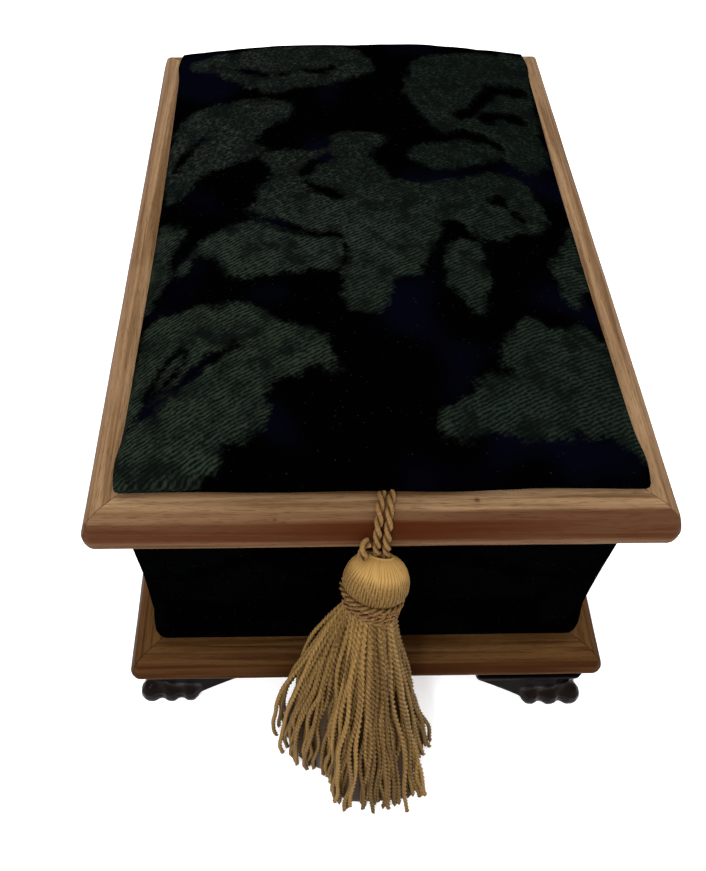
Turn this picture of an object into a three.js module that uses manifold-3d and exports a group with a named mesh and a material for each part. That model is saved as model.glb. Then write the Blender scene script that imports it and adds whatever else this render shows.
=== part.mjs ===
// Wooden jewelry box: a cloth-covered box on a moulded base with four lion-paw feet.
// Its lid is a mitred wooden frame around a padded panel, and lifts off.
// A tassel hangs over the front of the lid on two cords.
// Millimetres, +Z up, front towards -Y. The origin is on the table under the middle of the box.
import * as THREE from "three";
import { mergeVertices } from "three/addons/utils/BufferGeometryUtils.js";
import Module from "manifold-3d";

const wasm = await Module();
wasm.setup();

// Overall sizes
const lidWidth = 160;
const lidLength = 233;
const bodyHeight = 78.6;
const baseOverhang = 2;
const seatGap = 0.3;
const mitreGap = 0.3;

// Lid frame: a bevelled moulding whose outer face leans out to a rounded lip,
// with a rebate for the padded panel and one for the box's rim
const lidHeight = 12.3;
const lidRailWidth = 15.5;
const lidEdge = { bevelRun: 3.4, bevelRise: 2, faceSplay: 2.2, faceDrop: 8.1, lipRun: 2.6 };
const frameCornerRadius = 3.4;
const panelRebateInset = 11.6;
const panelLedgeHeight = 7.2;
const rimRebateDepth = 2;
const rimClearance = 0.6;

// Padded panel
const padMarginSide = 10.2;
const padMarginEnd = 9.8;
const padEdgeHeight = 3.8;
const padCrown = 12.3;
const padCornerRadius = 4;
const padTuck = 1.4;

// Box: four mitred boards, a bottom board and the cloth around them
const bodyInset = 10;
const wallThickness = 6;
const clothThickness = 1.1;
const clothCornerRadius = 2.4;
const clothFlare = 1.7;
const clothFlareHeight = 18;
const floorThickness = 5;

// Base: a moulding of the same kind under the box
const baseHeight = 10.4;
const baseRailWidth = 24;
const baseEdge = { bevelRun: 3.8, bevelRise: 2.5, faceSplay: 2, faceDrop: 7.8, lipRun: 2.6 };

// Feet: each has a flange, two tapering wings, a leg and a broad paw with five toes
const footHeight = 24;
const footReach = 36.5;
const footFlangeThickness = 2.4;
const footFlangeWidth = 10;
const wingThickness = 4.6;
const wingRecess = 0.7;
const wingTipDrop = 2.4;
const wingFootRun = 19;
const wingFootHeight = 3.2;
const legWidth = 15;
const legFlare = 2;
const pawHeight = 10;
const pawWidth = 18.2;
const toeReach = 3;
const toeWidth = 6.9;
const toeHeight = 11.4;
// The feet were set by hand: two stand nearer the sides of the base and two nearer its ends.
const nearSideInset = { side: 3, end: 3.3 };
const nearEndInset = { side: 6, end: 0.2 };

// Tassel
const cordDiameter = 2.4;
const cordSpacing = 2.6;
const cordClearance = 0.15;
const cordSocketDepth = 10.5;
const cordSocketClearance = 0.3;
const tasselX = -0.1;
const tasselDrop = 0.2;
const tasselLean = THREE.MathUtils.degToRad(28);
const tasselSway = THREE.MathUtils.degToRad(9);
const headRadius = 9.1;
const headDomeHeight = 8.9;
const headSkirtHeight = 3.9;
const neckRadius = 6.8;
const bindingCordDiameter = 1.8;
const bindingTurns = 3;
const skirtNeckRadius = 7.4;
const skirtClearance = 0.4;
const skirtFlutes = 24;
const fluteDepth = 0.8;
const skirtLevels = 9;
const skirtBow = 0.82;
const skirtSwing = 0.4;
const skirtFall = 0.62;
// The hem on the table, anticlockwise from behind: across from the tassel, and forward of the base.
const hemOutline = [
  [13, 2.2], [-1, 1.8], [-14, 2.2], [-30, 6.5], [-30, 14.5], [-24, 22.5], [-14, 27],
  [-9.5, 36.5], [4, 37.5], [19, 35], [16, 24], [24.5, 17.5], [20, 8],
];

// Worked out from the sizes above
const baseHalfWidth = lidWidth / 2 + baseOverhang;
const baseHalfLength = lidLength / 2 + baseOverhang;
const baseBottom = footHeight + seatGap;
const baseTop = baseBottom + baseHeight;
const bodyTop = baseTop + bodyHeight;
const lidBottom = bodyTop - rimRebateDepth;
const lidTop = lidBottom + lidHeight;
const bodyHalfWidth = lidWidth / 2 - bodyInset;
const bodyHalfLength = lidLength / 2 - bodyInset;
const wallInset = clothThickness + seatGap;

const colours = {
  wood: 0x8a6038,
  woodDark: 0x6e4522,
  bareWood: 0xa98a62,
  cloth: 0x0c0f0e,
  bronze: 0x2a1c12,
  gold: 0xa08248,
};
const finishes = {
  wood: { color: colours.wood, roughness: 0.45, metalness: 0 },
  woodDark: { color: colours.woodDark, roughness: 0.45, metalness: 0 },
  bareWood: { color: colours.bareWood, roughness: 0.7, metalness: 0 },
  cloth: { color: colours.cloth, roughness: 0.9, metalness: 0 },
  bronze: { color: colours.bronze, roughness: 0.35, metalness: 0.7 },
  gold: { color: colours.gold, roughness: 0.6, metalness: 0 },
};

const box = new THREE.Group();

function addMesh(name, geometry, finish, parent = box) {
  const mesh = new THREE.Mesh(geometry, new THREE.MeshStandardMaterial(finishes[finish]));
  mesh.name = name;
  parent.add(mesh);
  return mesh;
}

// Solids to join and cut
function solidOf(geometry) {
  const bare = geometry.clone();
  bare.deleteAttribute("normal");
  bare.deleteAttribute("uv");
  const merged = mergeVertices(bare, 1e-4);
  const vertProperties = new Float32Array(merged.attributes.position.array);
  const triVerts = new Uint32Array(merged.index.array);
  return new wasm.Manifold(new wasm.Mesh({ numProp: 3, vertProperties, triVerts }));
}

function geometryOf(solid) {
  const mesh = solid.getMesh();
  return indexedGeometry(Array.from(mesh.vertProperties), Array.from(mesh.triVerts));
}

function indexedGeometry(positions, indices) {
  const geometry = new THREE.BufferGeometry();
  geometry.setAttribute("position", new THREE.Float32BufferAttribute(positions, 3));
  geometry.setIndex(indices);
  geometry.computeVertexNormals();
  return geometry;
}

// Rings of points joined by a skin, with the first and the last ring closed by a fan.
// Each ring runs anticlockwise as seen from the end of the stack.
function loft(rings) {
  const count = rings[0].length;
  const positions = [];
  const indices = [];
  for (const ring of rings) {
    for (const point of ring) positions.push(point.x, point.y, point.z);
  }
  for (let level = 0; level < rings.length - 1; level += 1) {
    for (let step = 0; step < count; step += 1) {
      const next = (step + 1) % count;
      const low = level * count;
      const high = low + count;
      indices.push(low + step, low + next, high + next);
      indices.push(low + step, high + next, high + step);
    }
  }
  const closeRing = (ring, start, flip) => {
    const centre = new THREE.Vector3();
    for (const point of ring) centre.addScaledVector(point, 1 / count);
    const hub = positions.length / 3;
    positions.push(centre.x, centre.y, centre.z);
    for (let step = 0; step < count; step += 1) {
      const a = start + step;
      const b = start + (step + 1) % count;
      if (flip) indices.push(hub, b, a);
      else indices.push(hub, a, b);
    }
  };
  closeRing(rings[0], 0, true);
  closeRing(rings[rings.length - 1], (rings.length - 1) * count, false);
  return indexedGeometry(positions, indices);
}

// A rounded rectangle as points, anticlockwise from above
function roundedRectangle(halfWidth, halfLength, radius, cornerSteps, z = 0) {
  const points = [];
  const corners = [[1, 1], [-1, 1], [-1, -1], [1, -1]];
  corners.forEach(([sideX, sideY], corner) => {
    for (let step = 0; step <= cornerSteps; step += 1) {
      const angle = (corner + step / cornerSteps) * Math.PI / 2;
      const x = sideX * (halfWidth - radius) + radius * Math.cos(angle);
      const y = sideY * (halfLength - radius) + radius * Math.sin(angle);
      points.push(new THREE.Vector3(x, y, z));
    }
  });
  return points;
}

// A moulding swept round a rectangle. The profile's points are [inset, height], and run
// up the outer face, over the top, down the inner face and back along the underside.
function mouldingRing(profile, halfWidth, halfLength, cornerRadius) {
  const cornerSteps = 4;
  const sharpRadius = 0.3;
  const positions = [];
  const indices = [];
  let count = 0;
  for (const [inset, height] of profile) {
    const radius = Math.max(cornerRadius - inset, sharpRadius);
    const path = roundedRectangle(halfWidth - inset, halfLength - inset, radius, cornerSteps, height);
    count = path.length;
    for (const point of path) positions.push(point.x, point.y, point.z);
  }
  for (let row = 0; row < profile.length; row += 1) {
    for (let step = 0; step < count; step += 1) {
      const low = row * count;
      const high = ((row + 1) % profile.length) * count;
      const next = (step + 1) % count;
      indices.push(low + step, low + next, high + next);
      indices.push(low + step, high + next, high + step);
    }
  }
  return indexedGeometry(positions, indices);
}

// The block of space that one side of a mitred frame lies in
function mitreBlock(side, halfWidth, halfLength, depth, low, high) {
  const spare = 5;
  const shift = mitreGap / Math.SQRT2;
  const alongX = side === "front" || side === "back";
  const across = alongX ? halfWidth : halfLength;
  const out = alongX ? halfLength : halfWidth;
  const sign = side === "front" || side === "left" ? -1 : 1;
  const corners = [
    [-(across + spare - shift), out + spare],
    [across + spare - shift, out + spare],
    [across - depth - spare - shift, out - depth - spare],
    [-(across - depth - spare - shift), out - depth - spare],
  ];
  const points = corners.map(([a, b]) => new THREE.Vector2(alongX ? a : b * sign, alongX ? b * sign : a));
  const block = new THREE.ExtrudeGeometry(new THREE.Shape(points), {
    depth: high - low + 2 * spare,
    bevelEnabled: false,
  });
  return block.translate(0, 0, low - spare);
}

// Four mitred pieces named for their sides
function addMitredFrame(prefix, profile, halfWidth, halfLength, cornerRadius, finish) {
  const heights = profile.map(([, height]) => height);
  const low = Math.min(...heights);
  const high = Math.max(...heights);
  const depth = Math.max(...profile.map(([inset]) => inset));
  const ring = solidOf(mouldingRing(profile, halfWidth, halfLength, cornerRadius));
  for (const side of ["front", "back", "left", "right"]) {
    const block = solidOf(mitreBlock(side, halfWidth, halfLength, depth, low, high));
    addMesh(`${prefix}_${side}`, geometryOf(ring.intersect(block)), finish);
  }
}

// The outer edge of a moulding: a rounded lip, a face that leans in as it rises and a soft bevel
function mouldingEdge(bottom, height, { bevelRun, bevelRise, faceSplay, faceDrop, lipRun }) {
  const edge = [];
  const lipSteps = 3;
  for (let step = 0; step <= lipSteps; step += 1) {
    const angle = step / lipSteps * Math.PI / 2;
    edge.push([lipRun * (1 - Math.sin(angle)), bottom + (height - faceDrop) * (1 - Math.cos(angle))]);
  }
  const top = bottom + height;
  const ease = 0.12;
  edge.push([faceSplay * (1 - ease), top - THREE.MathUtils.lerp(bevelRise, faceDrop, ease)]);
  edge.push([faceSplay + bevelRun * ease, top - bevelRise * (1 - ease)]);
  edge.push([faceSplay + bevelRun * (1 - ease), top - bevelRise * ease]);
  edge.push([faceSplay + bevelRun * (1 + ease), top]);
  return edge;
}

function board(halfWidth, halfLength, low, high) {
  const shape = new THREE.Shape();
  shape.moveTo(-halfWidth, -halfLength);
  shape.lineTo(halfWidth, -halfLength);
  shape.lineTo(halfWidth, halfLength);
  shape.lineTo(-halfWidth, halfLength);
  const plate = new THREE.ExtrudeGeometry(shape, { depth: high - low, bevelEnabled: false });
  return plate.translate(0, 0, low);
}

// Base
function addBase() {
  const profile = mouldingEdge(baseBottom, baseHeight, baseEdge);
  profile.push([baseRailWidth, baseTop]);
  profile.push([baseRailWidth, baseBottom]);
  addMitredFrame("base_rail", profile, baseHalfWidth, baseHalfLength, frameCornerRadius, "woodDark");
}

// Box
function addBody() {
  const low = baseTop + seatGap;
  const high = bodyTop - seatGap;
  const walls = [
    [0, low],
    [0, high],
    [wallThickness, high],
    [wallThickness, low],
  ];
  const wallHalfWidth = bodyHalfWidth - wallInset;
  const wallHalfLength = bodyHalfLength - wallInset;
  addMitredFrame("body_wall", walls, wallHalfWidth, wallHalfLength, clothCornerRadius - wallInset, "bareWood");
  const floorHalfWidth = wallHalfWidth - wallThickness - seatGap;
  const floorHalfLength = wallHalfLength - wallThickness - seatGap;
  addMesh("body_floor", board(floorHalfWidth, floorHalfLength, low, low + floorThickness), "bareWood");
  addCloth(low, high);
}

// The cloth stands out a little above the base, where it is turned under
function addCloth(low, high) {
  const flareSteps = 5;
  const profile = [];
  profile.push([0, low]);
  for (let step = 1; step <= flareSteps; step += 1) {
    const rise = step / flareSteps;
    const bulge = Math.sin(Math.PI * Math.pow(rise, 0.55));
    profile.push([-clothFlare * bulge, low + rise * clothFlareHeight]);
  }
  profile.push([0, high]);
  profile.push([clothThickness, high]);
  profile.push([clothThickness, low]);
  const ring = mouldingRing(profile, bodyHalfWidth, bodyHalfLength, clothCornerRadius);
  addMesh("body_cloth", ring, "cloth");
}

// Lid
function addLid() {
  const profile = mouldingEdge(lidBottom, lidHeight, lidEdge);
  const ledge = lidBottom + panelLedgeHeight;
  const rimInset = bodyInset - rimClearance;
  profile.push([panelRebateInset, lidTop]);
  profile.push([panelRebateInset, ledge]);
  profile.push([lidRailWidth, ledge]);
  profile.push([lidRailWidth, lidBottom + rimRebateDepth]);
  profile.push([rimInset, lidBottom + rimRebateDepth]);
  profile.push([rimInset, lidBottom]);
  addMitredFrame("lid_rail", profile, lidWidth / 2, lidLength / 2, frameCornerRadius, "wood");
  const panelInset = panelRebateInset + seatGap;
  const panel = board(lidWidth / 2 - panelInset, lidLength / 2 - panelInset, ledge + seatGap, lidTop);
  addMesh("lid_board", panel, "bareWood");
  addMesh("lid_pad", padGeometry(), "cloth");
}

// The pad swells from an upright edge to a crown, rounder across than along
function padGeometry() {
  const halfWidth = lidWidth / 2 - padMarginSide;
  const halfLength = lidLength / 2 - padMarginEnd;
  const low = lidTop + seatGap;
  const cornerSteps = 4;
  const sideSteps = 7;
  const outline = subdivided(roundedRectangle(halfWidth, halfLength, padCornerRadius, cornerSteps), sideSteps);
  const scaled = (share, z) => outline.map((point) => new THREE.Vector3(point.x * share, point.y * share, z));
  const tuckShare = 1 - padTuck / halfWidth;
  const rings = [scaled(tuckShare, low), scaled(1, low + padEdgeHeight * 0.35)];
  for (const share of [1, 0.985, 0.95, 0.88, 0.76, 0.56, 0.28]) {
    const ring = scaled(share, 0);
    for (const point of ring) {
      const across = 1 - Math.pow(Math.abs(point.x) / halfWidth, 2.2);
      const along = 1 - Math.pow(Math.abs(point.y) / halfLength, 9);
      const swell = Math.max(across, 0) * Math.sqrt(Math.max(along, 0));
      point.z = low + padEdgeHeight * 0.75 + (padCrown - padEdgeHeight * 0.75) * swell;
    }
    rings.push(ring);
  }
  return loft(rings);
}

// Long straight stretches of an outline get points along them
function subdivided(outline, parts) {
  const points = [];
  outline.forEach((point, index) => {
    const next = outline[(index + 1) % outline.length];
    const pieces = point.distanceTo(next) > padCornerRadius * 2 ? parts : 1;
    for (let piece = 0; piece < pieces; piece += 1) points.push(point.clone().lerp(next, piece / pieces));
  });
  return points;
}

// Feet: the corner of the flange is at the origin, and the foot lies towards -X and +Y of it
function footGeometry() {
  let foot = solidOf(footFlange());
  foot = foot.add(solidOf(footWing()));
  foot = foot.add(solidOf(mirrored(footWing(), "diagonal")));
  foot = foot.add(solidOf(footLeg()));
  for (const part of pawParts()) foot = foot.add(solidOf(part));
  const ground = new THREE.BoxGeometry(4 * footReach, 4 * footReach, footHeight);
  ground.translate(0, 0, -footHeight / 2);
  return geometryOf(foot.subtract(solidOf(ground)));
}

function footFlange() {
  const reach = footReach;
  const width = footFlangeWidth;
  const corner = 2;
  const shape = new THREE.Shape();
  shape.moveTo(-corner, 0);
  shape.lineTo(0, corner);
  shape.lineTo(0, reach);
  shape.lineTo(-width, reach);
  shape.lineTo(-width, width);
  shape.lineTo(-reach, width);
  shape.lineTo(-reach, 0);
  const plate = new THREE.ExtrudeGeometry(shape, { depth: footFlangeThickness, bevelEnabled: false });
  return plate.translate(0, 0, footHeight - footFlangeThickness);
}

// The wing's lower edge sweeps from the end of the flange down to the paw
function footWing() {
  const top = footHeight - footFlangeThickness / 2;
  const tip = footHeight - footFlangeThickness - wingTipDrop;
  const shape = new THREE.Shape();
  shape.moveTo(-legWidth / 2, top);
  shape.lineTo(-footReach, top);
  shape.lineTo(-footReach, tip);
  shape.quadraticCurveTo(-footReach * 0.76, tip * 0.62, -wingFootRun, wingFootHeight);
  shape.lineTo(-legWidth / 2, wingFootHeight);
  const plate = new THREE.ExtrudeGeometry(shape, {
    depth: wingThickness,
    bevelEnabled: true,
    bevelThickness: 0.8,
    bevelSize: 0.8,
    bevelOffset: -0.8,
    bevelSegments: 1,
    curveSegments: 4,
  });
  plate.rotateX(Math.PI / 2);
  return plate.translate(0, wingRecess + 0.8 + wingThickness, 0);
}

// The leg leans out towards the paw
function footLeg() {
  const rings = [];
  const levels = 4;
  const half = legWidth / 2;
  for (let level = 0; level <= levels; level += 1) {
    const rise = level / levels;
    const z = THREE.MathUtils.lerp(pawHeight * 0.4, footHeight - footFlangeThickness / 2, rise);
    const lean = legFlare * Math.pow(1 - rise, 1.6);
    const swell = half - 0.8 + 0.8 * Math.cos(rise * Math.PI * 2);
    const ring = roundedRectangle(swell, swell, half * 0.5, 2, z);
    for (const point of ring) {
      point.x += lean - half - wingRecess;
      point.y -= lean - half - wingRecess;
    }
    rings.push(ring);
  }
  return loft(rings);
}

function pawParts() {
  const middle = pawWidth / 2;
  const palm = new THREE.SphereGeometry(1, 12, 6);
  palm.rotateX(Math.PI / 2);
  palm.scale(middle, middle, pawHeight * 0.75);
  palm.translate(-middle + toeReach * 0.5, middle - toeReach * 0.5, pawHeight * 0.45);
  // Two toes point to the front, one across the corner and two to the side.
  const spread = pawWidth - toeWidth / 2;
  const next = spread - toeWidth * 0.96;
  const toes = [
    { x: -spread, y: toeWidth * 0.27, turn: -0.1 },
    { x: -next, y: toeWidth * 0.24, turn: 0.1 },
    { x: -toeWidth * 0.2, y: toeWidth * 0.2, turn: Math.PI / 4 },
    { x: -toeWidth * 0.24, y: next, turn: Math.PI / 2 - 0.1 },
    { x: -toeWidth * 0.27, y: spread, turn: Math.PI / 2 + 0.1 },
  ];
  return [palm, ...toes.map(toeShape)];
}

// A toe made pointing to -Y and turned about its own place
function toeShape({ x, y, turn }) {
  const toe = new THREE.SphereGeometry(1, 10, 6);
  toe.rotateX(Math.PI / 2);
  toe.scale(toeWidth / 2, toeReach + toeWidth * 0.2, toeHeight / 2);
  toe.translate(0, 0, toeHeight * 0.42);
  return toe.rotateZ(turn).translate(x, y, 0);
}

// A copy reflected in the YZ plane, the XZ plane or the plane through the foot's corner
function mirrored(geometry, plane) {
  const copy = geometry.clone();
  const position = copy.attributes.position;
  for (let index = 0; index < position.count; index += 1) {
    const x = position.getX(index);
    const y = position.getY(index);
    if (plane === "x") position.setX(index, -x);
    if (plane === "y") position.setY(index, -y);
    if (plane === "diagonal") position.setXY(index, -y, -x);
  }
  const order = copy.index ? Array.from(copy.index.array) : [...Array(position.count).keys()];
  for (let index = 0; index < order.length; index += 3) {
    [order[index], order[index + 1]] = [order[index + 1], order[index]];
  }
  copy.setIndex(order);
  copy.computeVertexNormals();
  return copy;
}

function addFeet() {
  const frontRight = footGeometry();
  const frontLeft = mirrored(frontRight, "x");
  const feet = [
    { name: "foot_front_right", shape: frontRight, x: 1, y: -1, inset: nearEndInset },
    { name: "foot_front_left", shape: frontLeft, x: -1, y: -1, inset: nearSideInset },
    { name: "foot_back_right", shape: mirrored(frontRight, "y"), x: 1, y: 1, inset: nearSideInset },
    { name: "foot_back_left", shape: mirrored(frontLeft, "y"), x: -1, y: 1, inset: nearEndInset },
  ];
  for (const foot of feet) {
    const mesh = addMesh(foot.name, foot.shape, "bronze");
    mesh.position.x = foot.x * (baseHalfWidth - foot.inset.side);
    mesh.position.y = foot.y * (baseHalfLength - foot.inset.end);
  }
}

// Tassel. Its head leans: the axis points from the top of the head towards the table, forward and a little left.
const lidFront = -lidLength / 2;
const cordRadius = cordDiameter / 2;
const hangY = lidFront - cordRadius - cordClearance;
const headTop = new THREE.Vector3(tasselX, hangY, lidBottom - tasselDrop);
const tasselTurn = new THREE.Euler(-tasselLean, tasselSway, 0);
const tasselAxis = new THREE.Vector3(0, 0, -1).applyEuler(tasselTurn);
const headLength = headDomeHeight + headSkirtHeight;
const bindingLength = bindingTurns * bindingCordDiameter;
const skirtStart = headLength + bindingLength + seatGap;

function tube(curve, diameter, sides, steps) {
  const circle = new THREE.Shape();
  for (let side = 0; side < sides; side += 1) {
    const angle = side / sides * Math.PI * 2;
    const x = diameter / 2 * Math.cos(angle);
    const y = diameter / 2 * Math.sin(angle);
    if (side === 0) circle.moveTo(x, y);
    else circle.lineTo(x, y);
  }
  return new THREE.ExtrudeGeometry(circle, { steps, extrudePath: curve, bevelEnabled: false });
}

// Each cord leaves the pad's front edge, bends over the frame and hangs into the tassel's head
function cordRoute(side) {
  const x = tasselX + side * cordSpacing / 2;
  const lift = cordRadius + cordClearance;
  const padFront = lidFront + padMarginEnd;
  const arris = lidFront + lidEdge.faceSplay;
  const flatEdge = arris + lidEdge.bevelRun;
  const socket = cordSocketDepth - seatGap;
  return [
    [x + 1.1, padFront - seatGap, lidTop + lift],
    [x + 0.8, padFront - 2, lidTop + lift],
    [x + 0.4, flatEdge, lidTop + lift],
    [x + 0.1, arris + 0.8, lidTop - lidEdge.bevelRise + 2.1],
    [x - 0.1, arris - 1.3, lidTop - lidEdge.bevelRise + 0.5],
    [x - 0.3, (arris + lidFront) / 2 - 1.5, lidTop - lidEdge.faceDrop * 0.6],
    [x - 0.3, hangY, lidTop - lidEdge.faceDrop],
    [x - 0.1, hangY, lidBottom + 1.2],
    [x, hangY, headTop.z],
    [x + tasselAxis.x * socket, hangY + tasselAxis.y * socket, headTop.z + tasselAxis.z * socket],
  ].map(([px, py, pz]) => new THREE.Vector3(px, py, pz));
}

// A half hitch stands up beside the cords where they meet the head
function knotRoute() {
  const x = tasselX - cordSpacing / 2 - cordDiameter - seatGap;
  return [
    [x + 0.4, hangY, headTop.z + 6.4],
    [x - 0.5, hangY - 0.3, headTop.z + 6.2],
    [x - 1.3, hangY - 1.1, headTop.z + 4.6],
    [x - 1.4, hangY - 2.1, headTop.z + 2.6],
    [x - 1.6, hangY - 2.9, headTop.z + 1.9],
  ].map(([px, py, pz]) => new THREE.Vector3(px, py, pz));
}

// The head is a dome of threads with a socket for the cords, drawn in to the neck below
function headGeometry() {
  const socketRadius = (cordSpacing + cordDiameter) / 2 + cordSocketClearance;
  const profile = [new THREE.Vector2(0, -cordSocketDepth), new THREE.Vector2(socketRadius, -cordSocketDepth)];
  const domeSteps = 6;
  const startAngle = Math.asin(socketRadius / headRadius);
  for (let step = 0; step <= domeSteps; step += 1) {
    const angle = THREE.MathUtils.lerp(startAngle, Math.PI / 2, step / domeSteps);
    const drop = headDomeHeight * (1 - Math.cos(angle));
    profile.push(new THREE.Vector2(headRadius * Math.sin(angle), -drop));
  }
  profile.push(new THREE.Vector2(headRadius * 0.97, -headDomeHeight - headSkirtHeight * 0.45));
  profile.push(new THREE.Vector2(headRadius * 0.86, -headDomeHeight - headSkirtHeight * 0.85));
  profile.push(new THREE.Vector2(neckRadius - seatGap, -headLength));
  profile.push(new THREE.Vector2(neckRadius - seatGap, -headLength - bindingLength));
  profile.push(new THREE.Vector2(0, -headLength - bindingLength));
  return latheUpright(profile, 20);
}

// A lathe about Z whose profile is listed from the top down
function latheUpright(profile, sides) {
  const lathe = new THREE.LatheGeometry(profile.reverse(), sides);
  return lathe.rotateX(Math.PI / 2);
}

// Turns of twisted cord stacked round the neck
function bindingGeometry() {
  const sides = 5;
  const radius = bindingCordDiameter / 2;
  const profile = [];
  for (let turn = bindingTurns - 1; turn >= 0; turn -= 1) {
    const centre = -headLength - (turn + 0.5) * bindingCordDiameter;
    for (let side = 1; side < sides; side += 1) {
      const angle = (side / sides - 0.5) * Math.PI;
      profile.push(new THREE.Vector2(neckRadius + radius + radius * Math.cos(angle), centre + radius * Math.sin(angle)));
    }
  }
  profile.push(new THREE.Vector2(neckRadius, -headLength - seatGap));
  profile.push(new THREE.Vector2(neckRadius, -headLength - bindingLength + seatGap));
  profile.push(profile[0].clone());
  const ring = new THREE.LatheGeometry(profile, 20);
  return ring.rotateX(Math.PI / 2);
}

// The skirt: strands in flutes that leave the neck along its axis and spread on the table.
// Each flute runs from a place on the neck to the place on the hem that lies in the same direction.
function skirtGeometry() {
  const count = skirtFlutes * 2;
  const neck = headTop.clone().addScaledVector(tasselAxis, skirtStart);
  const sideways = new THREE.Vector3(1, 0, 0).applyEuler(tasselTurn);
  const backward = new THREE.Vector3(0, 1, 0).applyEuler(tasselTurn);
  const hemPoints = hemOutline.map(([across, ahead]) => {
    return new THREE.Vector3(tasselX + across, -baseHalfLength - ahead, skirtClearance);
  });
  const hem = new THREE.CatmullRomCurve3(hemPoints, true, "catmullrom", 0.3);
  const hemMiddle = centreOf(hemPoints);
  const rings = [];
  for (let level = skirtLevels; level >= 0; level -= 1) {
    const fall = level / skirtLevels;
    const middle = bezier(neck, bendBetween(neck, hemMiddle, skirtBow), hemMiddle, fall);
    const ring = [];
    for (let step = 0; step < count; step += 1) {
      const end = hem.getPoint(step / count);
      const angle = Math.atan2(end.y - hemMiddle.y, end.x - hemMiddle.x);
      const start = neck.clone();
      start.addScaledVector(sideways, skirtNeckRadius * Math.cos(angle));
      start.addScaledVector(backward, skirtNeckRadius * Math.sin(angle));
      const bow = skirtBow - skirtSwing * Math.cos(angle);
      const point = bezier(start, bendBetween(start, end, bow), end, fall);
      const groove = step % 2 === 0 ? 0 : fluteDepth * Math.min(1, 0.4 + fall);
      const inward = new THREE.Vector3(middle.x - point.x, middle.y - point.y, 0).normalize();
      ring.push(point.addScaledVector(inward, groove));
    }
    rings.push(ring);
  }
  return loft(rings);
}

// Strands bow out, those on the left the most: their bend lies over the hem and still high up
function bendBetween(start, end, bow) {
  const bend = start.clone().lerp(end, bow);
  bend.z = THREE.MathUtils.lerp(start.z, end.z, skirtFall);
  return bend;
}

function centreOf(points) {
  const centre = new THREE.Vector3();
  for (const point of points) centre.addScaledVector(point, 1 / points.length);
  return centre;
}

function bezier(start, bend, end, t) {
  const point = start.clone().multiplyScalar((1 - t) * (1 - t));
  point.addScaledVector(bend, 2 * t * (1 - t));
  return point.addScaledVector(end, t * t);
}

function addTassel() {
  const cordSteps = 22;
  const knotSteps = 7;
  for (const [name, side] of [["left", -1], ["right", 1]]) {
    const route = new THREE.CatmullRomCurve3(cordRoute(side));
    addMesh(`tassel_cord_${name}`, tube(route, cordDiameter, 8, cordSteps), "gold");
  }
  const knot = new THREE.CatmullRomCurve3(knotRoute());
  addMesh("tassel_knot", tube(knot, cordDiameter, 8, knotSteps), "gold");
  const leaning = new THREE.Group();
  leaning.position.copy(headTop);
  leaning.rotation.copy(tasselTurn);
  box.add(leaning);
  addMesh("tassel_head", headGeometry(), "gold", leaning);
  addMesh("tassel_binding", bindingGeometry(), "gold", leaning);
  addMesh("tassel_skirt", skirtGeometry(), "gold");
}

addBase();
addBody();
addLid();
addFeet();
addTassel();

export default box;
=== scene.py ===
"""A cloth-covered wooden jewelry box with a padded lid, lion-paw feet and a tassel.

Shapes are worked out in millimetres in the model's frame: +Z up, front towards -Y. A piece is made in metres.
"""
from math import asin, cos, pi, radians, sin, sqrt

import bpy
import numpy as np
from mathutils import Matrix, Vector


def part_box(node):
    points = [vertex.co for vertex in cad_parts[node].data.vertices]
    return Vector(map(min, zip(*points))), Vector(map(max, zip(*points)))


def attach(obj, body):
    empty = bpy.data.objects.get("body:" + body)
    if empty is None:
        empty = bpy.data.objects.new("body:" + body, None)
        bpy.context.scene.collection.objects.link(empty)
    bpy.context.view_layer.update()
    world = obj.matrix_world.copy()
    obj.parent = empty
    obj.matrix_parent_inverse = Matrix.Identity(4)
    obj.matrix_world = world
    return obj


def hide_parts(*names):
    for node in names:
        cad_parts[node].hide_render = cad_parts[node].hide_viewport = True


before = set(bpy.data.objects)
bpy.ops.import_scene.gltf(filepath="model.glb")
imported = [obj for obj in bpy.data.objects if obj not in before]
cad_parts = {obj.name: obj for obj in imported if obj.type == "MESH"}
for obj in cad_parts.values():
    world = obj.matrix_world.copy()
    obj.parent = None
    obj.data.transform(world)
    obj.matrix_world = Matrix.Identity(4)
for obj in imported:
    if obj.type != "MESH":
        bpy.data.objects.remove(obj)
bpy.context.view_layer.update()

MM = 0.001
BODY = "root"
SIDES = ("front", "back", "left", "right")


def span(*nodes):
    """Lowest and highest corner of some nodes, in millimetres."""
    boxes = [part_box(node) for node in nodes]
    low = np.min([box[0] for box in boxes], axis=0) / MM
    high = np.max([box[1] for box in boxes], axis=0) / MM
    return low, high


def ease(value, low, high):
    """A straight climb from 0 at low to 1 at high."""
    return np.clip((value - low) / (high - low), 0, 1)


def hill(value, centre, width):
    """1 at the centre, falling off smoothly on both sides."""
    return np.exp(-((value - centre) / width) ** 2)


# Sizes from the model
lid_low, lid_high = span(*[f"lid_rail_{side}" for side in SIDES])
base_low, base_high = span(*[f"base_rail_{side}" for side in SIDES])
cloth_low, cloth_high = span("body_cloth")
pad_low, pad_high = span("lid_pad")

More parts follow.
